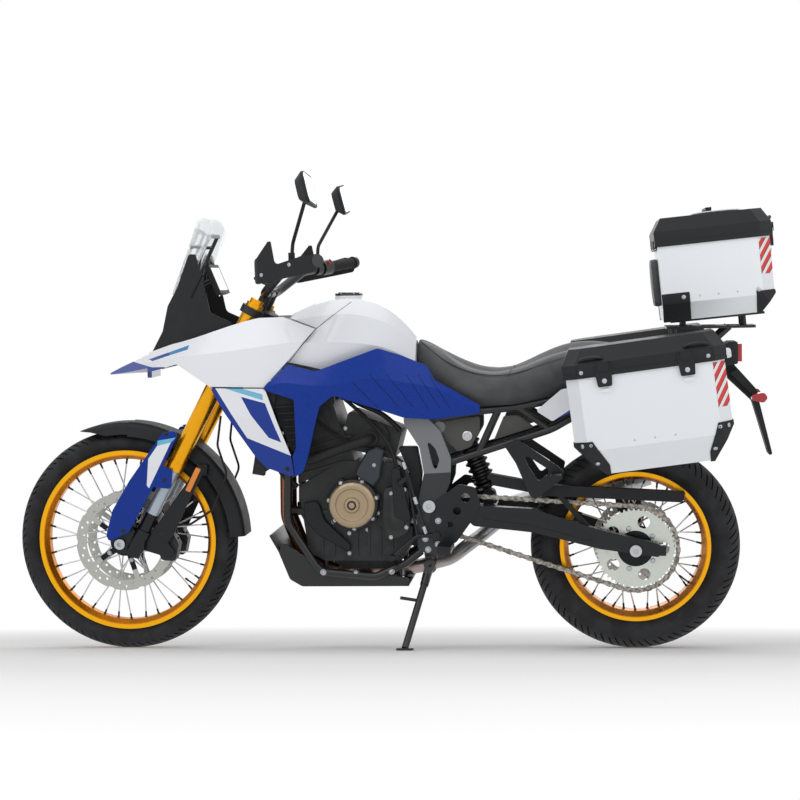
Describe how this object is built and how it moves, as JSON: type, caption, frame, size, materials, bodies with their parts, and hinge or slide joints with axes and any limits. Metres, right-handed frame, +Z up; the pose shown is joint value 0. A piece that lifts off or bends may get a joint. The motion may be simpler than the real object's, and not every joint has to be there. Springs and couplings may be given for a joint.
{
  "type": "adventure motorcycle",
  "caption": "Twin-cylinder adventure motorcycle on wire wheels with beak, wind deflectors, aluminium panniers and top case, leaning on its side stand.",
  "frame": {"origin": "middle of the footprint of the parked motorcycle, on the ground", "axes": "+X to the rear, +Y to the rider's right, +Z up; the motorcycle leans towards -Y on its side stand"},
  "size_m": [2.3568, 1.0714, 1.5224],
  "materials": {
    "tyre_rubber": "matt rubber",
    "gold_rim": "gold anodised",
    "disc_steel": "ground steel",
    "sprocket_metal": "satin",
    "gold_anodised": "gold anodised",
    "dark_alloy": "satin black",
    "black_cast": "satin black",
    "axle_steel": "zinc plated",
    "black_steel": "satin black powder coat",
    "dark_plastic": "grained",
    "blue_plastic": "gloss",
    "hose_rubber": "matt",
    "grey_frame": "satin paint",
    "bronze_cover": "satin bronze",
    "radiator_alloy": "satin",
    "copper_steel": "heat-tinted steel",
    "chain_steel": "oiled steel",
    "white_gloss": "gloss",
    "seat_vinyl": "grained vinyl",
    "lamp_glass": "clear",
    "clear_screen": "clear",
    "red_lens": "gloss",
    "case_aluminium": "brushed, clear anodised",
    "lid_plastic": "grained",
    "pad_foam": "grained vinyl"
  },
  "bodies": {
    "chassis": {"main_frame": "grey_frame", "axle_bolts": "axle_steel", "engine_block": "black_cast", "engine_covers": "bronze_cover", "radiator": "radiator_alloy", "coolant_hose": "hose_rubber", "exhaust": "copper_steel", "belly_guard": "black_steel", "swingarm": "dark_alloy", "drive_chain": "chain_steel", "chain_guard": "dark_plastic", "rear_caliper": "black_cast", "shock_absorber": "black_steel", "subframe": "black_steel", "fuel_tank": "white_gloss", "seat": "seat_vinyl", "nose_cowl": "white_gloss", "headlamp_cowl": "dark_plastic", "headlamps": "lamp_glass", "windscreen": "clear_screen", "front_stay": "black_steel", "display": "dark_plastic", "wing_panels": "white_gloss", "side_panels": "blue_plastic", "tail_panels": "white_gloss", "rear_fender": "dark_plastic", "rear_lamps": "red_lens", "left_case": "case_aluminium", "right_case": "case_aluminium", "top_case": "case_aluminium", "case_guards": "dark_plastic", "backrest_pad": "pad_foam", "pannier_racks": "black_steel", "top_rack": "black_steel", "footrests": "dark_alloy"},
    "front_end": {"fork_tubes": "gold_anodised", "fork_lowers": "dark_alloy", "front_calipers": "black_cast", "front_axle": "axle_steel", "triple_clamps": "black_cast", "handlebar": "black_steel", "handguards": "dark_plastic", "mirrors": "dark_plastic", "front_fender": "dark_plastic", "fork_guards": "blue_plastic", "brake_hoses": "hose_rubber"},
    "front_wheel": {"front_tyre": "tyre_rubber", "front_wheel_rim": "gold_rim", "front_discs": "disc_steel"},
    "rear_wheel": {"rear_tyre": "tyre_rubber", "rear_wheel_rim": "gold_rim", "rear_disc": "disc_steel", "rear_sprocket": "sprocket_metal"},
    "stand": {"side_stand": "black_steel"},
    "left_pannier_lid": {"left_lid": "lid_plastic"},
    "right_pannier_lid": {"right_lid": "lid_plastic"},
    "top_case_lid": {"top_lid": "lid_plastic"}
  },
  "joints": [
    {"name": "steering", "type": "hinge", "parent": "chassis", "child": "front_end", "pos_m": [-0.38311, -0.00248, 1.03871], "axis": [0.4692, -0.1419, 0.8716], "range_deg": [-40, 40]},
    {"name": "front_wheel_spin", "type": "hinge", "parent": "front_end", "child": "front_wheel", "pos_m": [-0.83089, 0.1107, 0.34363], "axis": [0, 0.987, 0.1607], "continuous": true},
    {"name": "rear_wheel_spin", "type": "hinge", "parent": "chassis", "child": "rear_wheel", "pos_m": [0.75912, 0.11496, 0.31797], "axis": [0, 0.987, 0.1607], "continuous": true},
    {"name": "stand_fold", "type": "hinge", "parent": "chassis", "child": "stand", "pos_m": [0.13614, -0.00286, 0.24489], "axis": [-0.0944, -0.8617, 0.4986], "range_deg": [0, 95]},
    {"name": "left_pannier_lid_hinge", "type": "hinge", "parent": "chassis", "child": "left_pannier_lid", "pos_m": [0.78439, -0.22095, 0.82712], "axis": [-0.9925, 0.0196, -0.1206], "range_deg": [0, 65]},
    {"name": "right_pannier_lid_hinge", "type": "hinge", "parent": "chassis", "child": "right_pannier_lid", "pos_m": [0.78436, 0.27196, 0.9074], "axis": [0.9925, -0.0196, 0.1206], "range_deg": [0, 65]},
    {"name": "top_case_lid_hinge", "type": "hinge", "parent": "chassis", "child": "top_case_lid", "pos_m": [0.82665, -0.03047, 1.21094], "axis": [0, -0.987, -0.1607], "range_deg": [0, 65]}
  ]
}
